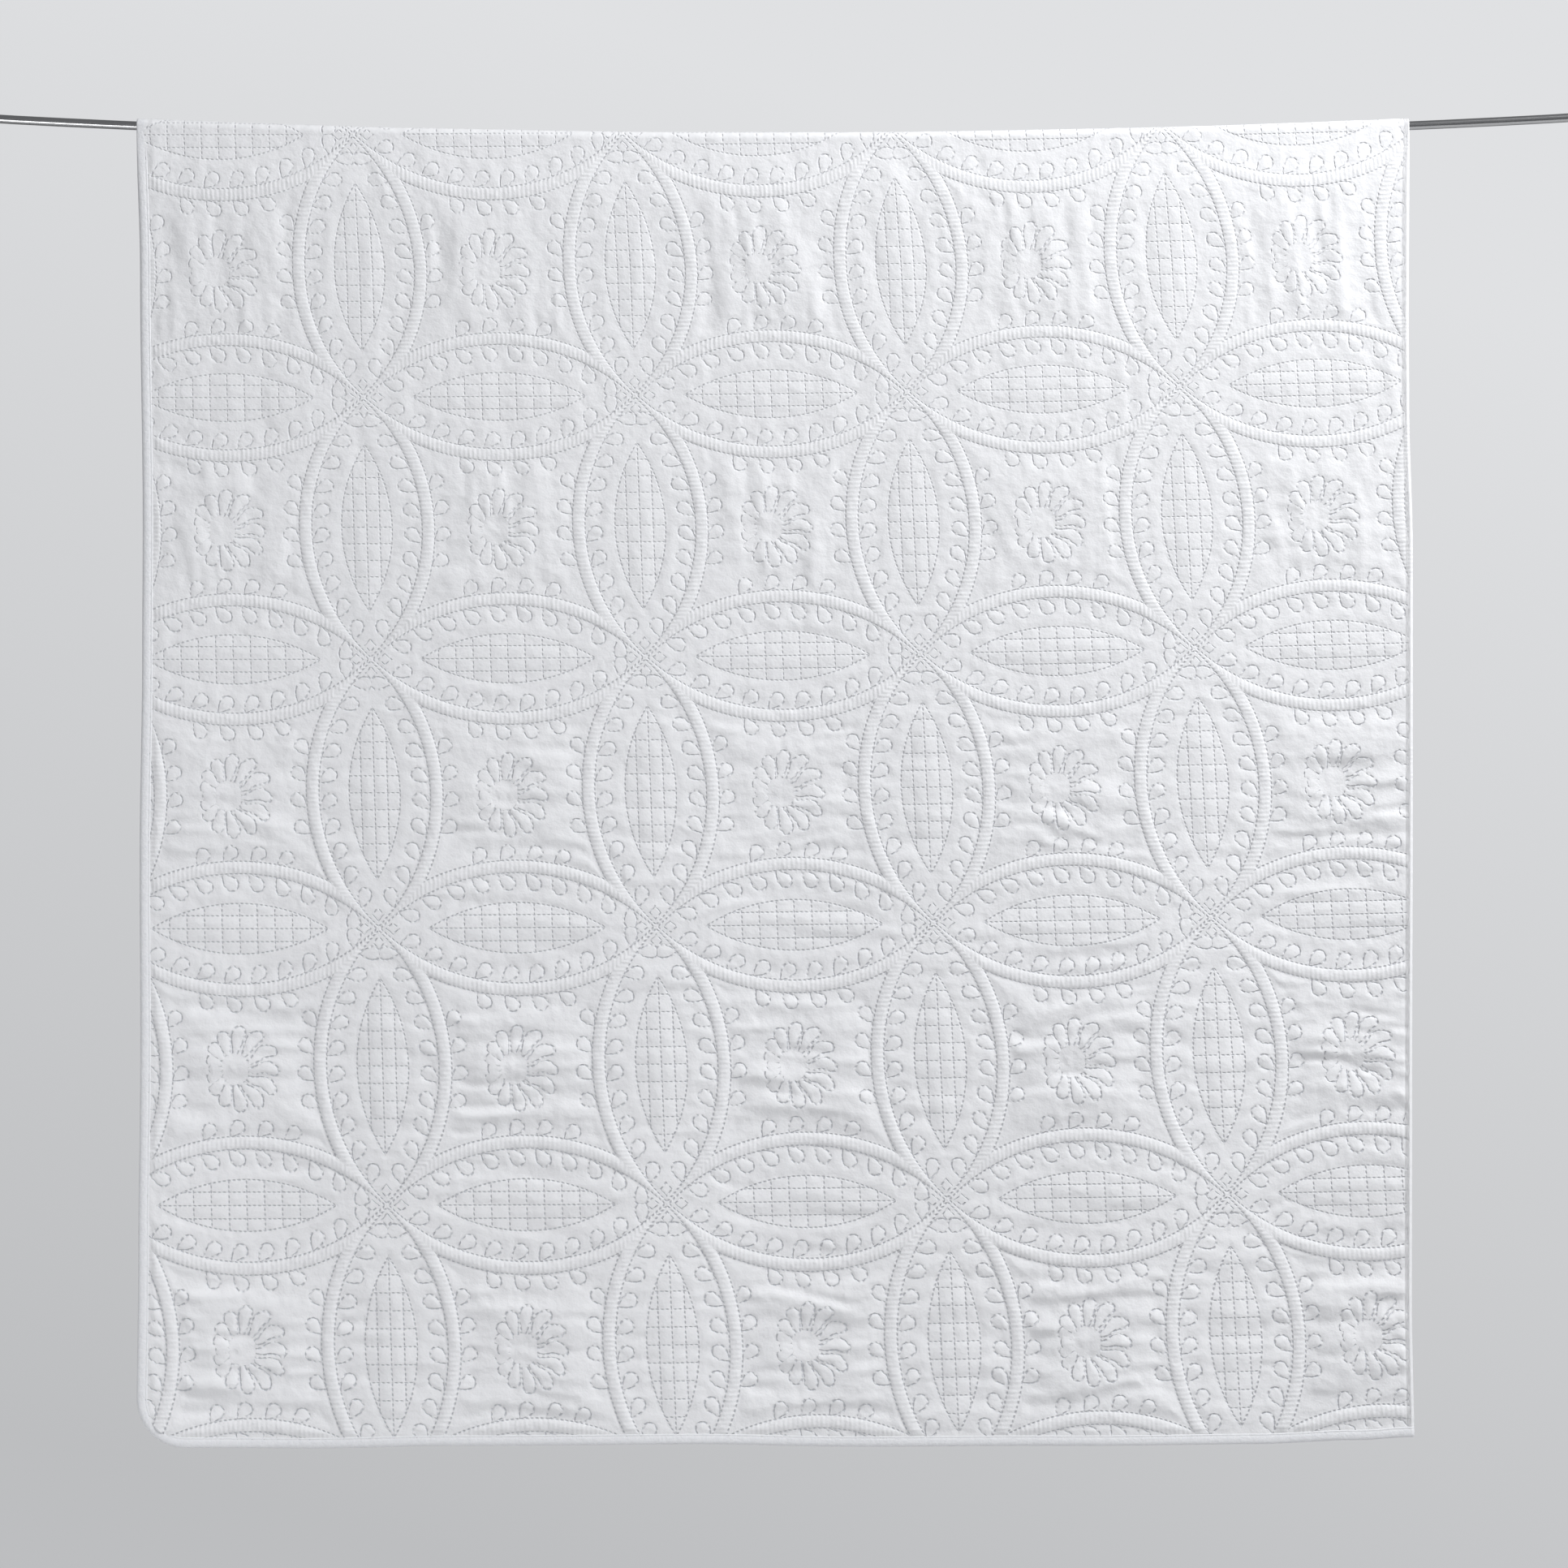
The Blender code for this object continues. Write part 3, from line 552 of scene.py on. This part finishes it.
def boundCotton():
    look = bpy.data.materials.new("cottonBinding")
    look.use_nodes = True
    tree = look.node_tree
    shader = tree.nodes["Principled BSDF"]
    shader.inputs["Roughness"].default_value = bindingLook["roughness"]
    shader.inputs["Sheen Weight"].default_value = bindingLook["sheen"]
    place = addNode(tree, "ShaderNodeTexCoord")
    fine = addNode(tree, "ShaderNodeTexNoise", None, Vector=place.outputs["Object"], Scale=420.0, Detail=2.0)
    bump = addNode(tree, "ShaderNodeBump", None, Strength=1.0, Distance=0.0004, Height=fine.outputs[0])
    tree.links.new(bump.outputs["Normal"], shader.inputs["Normal"])
    # the binding's darker tone follows the fine noise at random and is no shade
    blend = addNode(tree, "ShaderNodeMix", {"data_type": "RGBA"}, n0=fine.outputs[0],
                    n6=linear(bindingLook["colour"]), n7=linear(bindingLook["paintedShadeAndTone"]))
    tree.links.new(blend.outputs[2], shader.inputs["Base Color"])
    return look


def polishedSteel():
    look = bpy.data.materials.new("polishedSteel")
    look.use_nodes = True
    tree = look.node_tree
    shader = tree.nodes["Principled BSDF"]
    shader.inputs["Base Color"].default_value = linear(steelLook["colour"])
    shader.inputs["Metallic"].default_value = 1.0
    place = addNode(tree, "ShaderNodeTexCoord")
    turned = addNode(tree, "ShaderNodeMapping", None, Vector=place.outputs["Object"], Scale=(40.0, 2500.0, 2500.0))
    fine = addNode(tree, "ShaderNodeTexNoise", None, Vector=turned.outputs[0], Scale=1.0, Detail=2.0)
    rough = addNode(tree, "ShaderNodeMapRange", None, Value=fine.outputs[0], To_Min=steelLook["roughness"] - 0.05,
                    To_Max=steelLook["roughness"] + 0.06)
    tree.links.new(rough.outputs[0], shader.inputs["Roughness"])
    return look


quiltLook, trimLook, rodLook = quiltedCotton(), boundCotton(), polishedSteel()
print("materials made")

# How fine the meshes are, in metres, and how far the cloth goes on under the binding.
faces = {"columnStep": 0.00209, "rowStep": 0.00214, "backStep": 0.0050, "liningStep": 0.015,
         "tuck": 0.007, "overCrest": 0.040, "bands": 4}


# t where the cloth's edge goes under the binding, round the corner at the free edge
def lowEnd(a, front):
    sign = 1 if front else -1
    radius, inner = cloth["cornerRadius"], cloth["cornerRadius"] - faces["tuck"]
    straight = np.abs(hem(a, front)) - faces["tuck"]
    near = np.minimum(a, flatWidth - a)
    centre = np.where(a < flatWidth / 2, abs(hem(np.array(radius), front)),
                      abs(hem(np.array(flatWidth - radius), front))) - radius
    reach = np.sqrt(np.maximum(inner ** 2 - np.maximum(radius - near, 0) ** 2, 0))
    return sign * np.where(near < radius, centre + reach, straight)


def acrossLines(spacing, foldSteps, beyond):
    width = cloth["outerWidth"]
    return np.concatenate([steps(faces["tuck"], width, spacing)[:-1],
                           np.linspace(width, foldEnd, foldSteps + 1)[:-1],
                           np.linspace(foldEnd, foldEnd + beyond, 4)])


def outerGrid(front, spacing, rowSpacing, foldSteps):
    across = acrossLines(spacing, foldSteps, 0.012)
    start = faces["overCrest"] - 0.004
    crest = steps(-faces["overCrest"], start, 0.0014) if front else np.array([-start])
    end = lowEnd(across, front)
    first = crest[-1]
    shares = steps(0.0, 1.0, rowSpacing / 1.19)[1:]
    t = np.concatenate([np.repeat(crest[:, None], len(across), axis=1),
                        first + (end[None, :] - first) * shares[:, None]])
    a = np.repeat(across[None, :], len(t), axis=0)
    height, i, j = relief(a, t)
    points = place(a, t, thickness(t) / 2 + height)
    amount = smooth((cloth["outerWidth"] - a) / 0.004) * (0.6 + 0.4 * smooth(np.abs(t) / 1.1))
    return a, t, points, np.stack([i, j, amount], axis=-1)


def addBand(name, grid, low, paintedLightShare, flipped):
    a, t, points, places, normals = (v[low:paintedLightShare + 1] for v in grid)
    rows, columns = a.shape
    across, down = np.meshgrid(np.linspace(0.01, 0.99, columns), np.linspace(0.99, 0.01, rows))
    made = addMesh(name, points, gridQuads(rows, columns, flipped), quiltLook, normals,
                   np.stack([across, down], axis=-1), places)
    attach(made, "root")
    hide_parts("quilt")
    return made


grid = outerGrid(True, faces["columnStep"], faces["rowStep"], 8)
grid = (*grid, gridNormals(grid[2]))
cuts = [round(k * (len(grid[0]) - 1) / faces["bands"]) for k in range(faces["bands"] + 1)]
bandNames = ("quiltFrontTop", "quiltFrontUpper", "quiltFrontLower", "quiltFrontBottom")
for name, low, paintedLightShare in zip(bandNames, cuts, cuts[1:]):
    addBand(name, grid, low, paintedLightShare, False)
print("front drop:", len(grid[0]), "rows of", len(grid[0][0]))

grid = outerGrid(False, faces["backStep"], faces["backStep"], 6)
grid = (*grid, -gridNormals(grid[2]))
addBand("quiltBack", grid, 0, len(grid[0]) - 1, True)
print("back drop:", len(grid[0]), "rows of", len(grid[0][0]))


# the inside face of one layer, over the crest from hem to hem
def liningGrid(start, spacing, side):
    across = np.concatenate([steps(faces["tuck"], cloth["outerWidth"], spacing)[:-1],
                             np.linspace(cloth["outerWidth"], foldEnd, 7)[:-1],
                             steps(foldEnd, flatWidth - faces["tuck"], spacing)])
    across = across[across >= start]
    crest = steps(-0.012, 0.012, 0.0015)
    up, down = lowEnd(across, False), lowEnd(across, True)
    shares = steps(0.0, 1.0, spacing / 1.19)
    t = np.concatenate([up[None, :] + (crest[0] - up[None, :]) * shares[:-1, None],
                        np.repeat(crest[:, None], len(across), axis=1),
                        crest[-1] + (down[None, :] - crest[-1]) * shares[1:, None]])
    a = np.repeat(across[None, :], len(t), axis=0)
    return a, t, place(a, t, side * thickness(t) / 2)


lining = []
for start, side in ((0.0, -1), (foldEnd + 0.002, 1)):
    a, t, points = liningGrid(start, faces["liningStep"], side)
    lining.append((points, gridQuads(*a.shape, side < 0), a, t))
offset = lining[0][0].reshape(-1, 3).shape[0]
points = np.concatenate([part[0].reshape(-1, 3) for part in lining])
quads = np.concatenate([lining[0][1], lining[1][1] + offset])
places = np.concatenate([np.stack([a.ravel() * 4, t.ravel() * 4, a.ravel() * 0], axis=-1)
                         for points_, quads_, a, t in lining])
made = addMesh("quiltLining", points, quads, quiltLook, None, None, places)
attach(made, "root")
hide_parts("quilt")
print("inside faces:", len(quads), "faces")

trim = {"frontStep": 0.003, "otherStep": 0.008, "pucker": 0.00016}      # the binding, in metres


# a, t and the way into the cloth, all round the flat quilt
def outlineStations():
    radius = cloth["cornerRadius"]
    near, far = radius, flatWidth - radius
    ends = {front: [float(hem(np.array(v), front)) - (radius if front else -radius) for v in (near, far)]
            for front in (True, False)}
    fold = np.linspace(cloth["outerWidth"], foldEnd, 9)
    beyond = steps(foldEnd, far, trim["otherStep"])
    alongFront = np.concatenate([steps(near, fold[0], trim["frontStep"])[:-1], fold[:-1], beyond])
    alongBack = np.concatenate([steps(near, fold[0], trim["otherStep"])[:-1], fold[:-1], beyond])
    crest = steps(-0.012, 0.012, 0.0012)
    parts = []

    def side(a, t, inA, inT):
        parts.append(np.stack([a + 0 * t, t + 0 * a, inA + 0 * a + 0 * t, inT + 0 * a + 0 * t], axis=-1)[:-1])

    def corner(centreA, centreT, start, end):
        turn = np.radians(np.linspace(start, end, 12))
        side(centreA + radius * np.cos(turn), centreT + radius * np.sin(turn), -np.cos(turn), -np.sin(turn))

    side(alongFront, hem(alongFront, True), 0.0, -1.0)
    corner(far, ends[True][1], 90, 0)
    down = np.concatenate([steps(ends[True][1], crest[-1], trim["otherStep"])[:-1], crest[::-1],
                           steps(crest[0], ends[False][1], trim["otherStep"])[1:]])
    side(np.full(len(down), flatWidth), down, -1.0, 0.0)
    corner(far, ends[False][1], 0, -90)
    side(alongBack[::-1], hem(alongBack[::-1], False), 0.0, 1.0)
    corner(near, ends[False][0], 270, 180)
    up = np.concatenate([steps(ends[False][0], crest[0], trim["otherStep"])[:-1], crest,
                         steps(crest[-1], ends[True][0], trim["frontStep"])[1:]])
    side(np.zeros(len(up)), up, 1.0, 0.0)
    corner(near, ends[True][0], 180, 90)
    return np.concatenate(parts)


section = {
    "inward": (0.00, 0.06, 0.18, 0.38, 0.60, 0.76, 0.83, 0.90, 1.00),
    "up": (0.28, 0.62, 0.92, 1.06, 1.02, 0.88, 0.70, 0.88, 0.78),
}
stations = outlineStations()
a, t, inA, inT = (stations[:, None, k] for k in range(4))
inward = np.array(section["inward"] + section["inward"][::-1])
up = np.array(section["up"] + tuple(-v for v in section["up"][::-1]))
half = thickness(t) / 2 + (layerGap(t) - cloth["crestGap"]) / 2
run = np.arange(len(stations))[:, None] * trim["frontStep"]
puff = trim["pucker"] * np.sin(2 * math.pi * run / 0.011 + 2 * np.sin(run * 9))
puff = puff * np.sin(math.pi * inward) * np.sign(up)
step = inward * cloth["bindingWidth"]
points = place(a + inA * step, t + inT * step, up * half + puff * swelling(t))
rows, columns = points.shape[:2]
here = np.arange(rows)[:, None] * columns + np.arange(columns)[None, :]
after = np.roll(here, -1, axis=0)
quads = np.stack([here, after, np.roll(after, -1, axis=1), np.roll(here, -1, axis=1)], axis=-1).reshape(-1, 4)
made = addMesh("quiltBinding", points, quads, trimLook)
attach(made, "root")
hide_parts("binding")
print("binding:", len(quads), "faces")


# the rod's centre line, straight between the stations of its solid
def rodLine():
    length, levelEnd = rod["length"], rod["levelEnd"]
    x = np.concatenate([[0.0, rod["chamfer"]], np.linspace(levelEnd, length - levelEnd, rod["stations"]),
                        [length - rod["chamfer"], length]])
    ends = (0.0, rod["riseAtRight"])
    marks = np.linspace(0, length, 33)
    level = np.interp(x, np.concatenate([[0, levelEnd], marks[1:-1], [length - levelEnd, length]]),
                      np.concatenate([[ends[0], ends[0]], rodHeight(marks[1:-1]), [ends[1], ends[1]]]))
    return x, level


x, level = rodLine()
radii = np.full(len(x), rod["radius"])
radii[[0, -1]] -= rod["chamfer"]
x = np.concatenate([[x[0]], x, [x[-1]]])
level = np.concatenate([[level[0]], level, [level[-1]]])
radii = np.concatenate([[0.0002], radii, [0.0002]])
turn = np.linspace(0, 2 * math.pi, rod["sides"], endpoint=False)
points = np.stack([x[:, None] + 0 * turn, -radii[:, None] * np.sin(turn),
                   level[:, None] + radii[:, None] * np.cos(turn)], axis=-1)
rows, columns = points.shape[:2]
here = np.arange(rows)[:-1, None] * columns + np.arange(columns)[None, :]
beside = np.roll(here, -1, axis=1)
quads = np.stack([here, here + columns, beside + columns, beside], axis=-1).reshape(-1, 4)
made = addMesh("steelRod", points, quads, rodLook)
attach(made, "root")
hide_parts("rod")
print("rod:", len(quads), "faces")

# The camera faces the front drop, as in the photo: its plane is where the picture is width metres wide.
view = {"x": 0.7501, "z": -0.6115, "distance": 4.2, "plane": -0.008, "width": 1.4355}
lights = {
    "name": ("key", "fill", "card"),          # the card is what the rod's bright line mirrors
    "place": ((2.92, -1.28, 1.81), (-0.75, -1.90, -1.68), (0.75, -6.0, 0.5)),
    "size": (1.0, 1.4, 0.8),
    "watts": (134.0, 22.0, 12.0),
}
camera = bpy.data.cameras.new("camera")
camera.sensor_width = 36.0
camera.lens = 36.0 * (view["distance"] + view["plane"]) / view["width"]
cameraObject = bpy.data.objects.new("camera", camera)
bpy.context.scene.collection.objects.link(cameraObject)
cameraObject.location = (view["x"], -view["distance"], view["z"])
cameraObject.rotation_euler = (math.radians(90), 0, 0)
bpy.context.scene.camera = cameraObject

for name, spot, size, watts in zip(*lights.values()):
    lamp = bpy.data.lights.new(name, "AREA")
    lamp.size = size
    lamp.energy = watts
    holder = bpy.data.objects.new(name, lamp)
    bpy.context.scene.collection.objects.link(holder)
    holder.location = spot
    holder.rotation_euler = (Vector((view["x"], 0, view["z"])) - Vector(spot)).to_track_quat("-Z", "Y").to_euler()

world = bpy.data.worlds.new("studio")
bpy.context.scene.world = world
world.use_nodes = True
tree = world.node_tree
ground = tree.nodes["Background"]
direction = addNode(tree, "ShaderNodeTexCoord")
split = addNode(tree, "ShaderNodeSeparateXYZ", None, Vector=direction.outputs["Generated"])
# painted light on the backdrop: a little lighter to the right, and lighter above, as a wall lit from the upper right
# would be
aside = addNode(tree, "ShaderNodeMath", {"operation": "MULTIPLY"}, n0=split.outputs[0], n1=0.32)
level = addNode(tree, "ShaderNodeMath", {"operation": "ADD"}, n0=split.outputs[2], n1=aside.outputs[0])
paintedLightShare = addNode(tree, "ShaderNodeMapRange", None, Value=level.outputs[0], From_Min=-0.19, From_Max=0.15,
               To_Min=0.0, To_Max=1.0)
blend = addNode(tree, "ShaderNodeMix", {"data_type": "RGBA"}, n0=paintedLightShare.outputs[0],
                n6=linear("#bdbec0"), n7=linear("#e0e1e3"))
tree.links.new(blend.outputs[2], ground.inputs["Color"])
path = addNode(tree, "ShaderNodeLightPath")
seen = addNode(tree, "ShaderNodeMapRange", None, Value=path.outputs["Is Camera Ray"], To_Min=0.25, To_Max=1.0)
tree.links.new(seen.outputs[0], ground.inputs["Strength"])
bpy.context.scene.view_settings.view_transform = "Standard"    # plain tones, as in a catalogue picture

floorLook = bpy.data.materials.new("paleFloor")
floorLook.use_nodes = True
floorLook.node_tree.nodes["Principled BSDF"].inputs["Base Color"].default_value = linear("#d8d8d8")
floorLook.node_tree.nodes["Principled BSDF"].inputs["Roughness"].default_value = 0.8
turn = np.linspace(0, 2 * math.pi, 64, endpoint=False)
floor = bpy.data.meshes.new("floor")
floor.from_pydata([(0.75 + 2.8 * math.cos(v), 2.8 * math.sin(v), -1.95) for v in turn], [], [list(range(64))])
floor.materials.append(floorLook)
floorObject = bpy.data.objects.new("floor", floor)
bpy.context.scene.collection.objects.link(floorObject)
print("camera and light set")
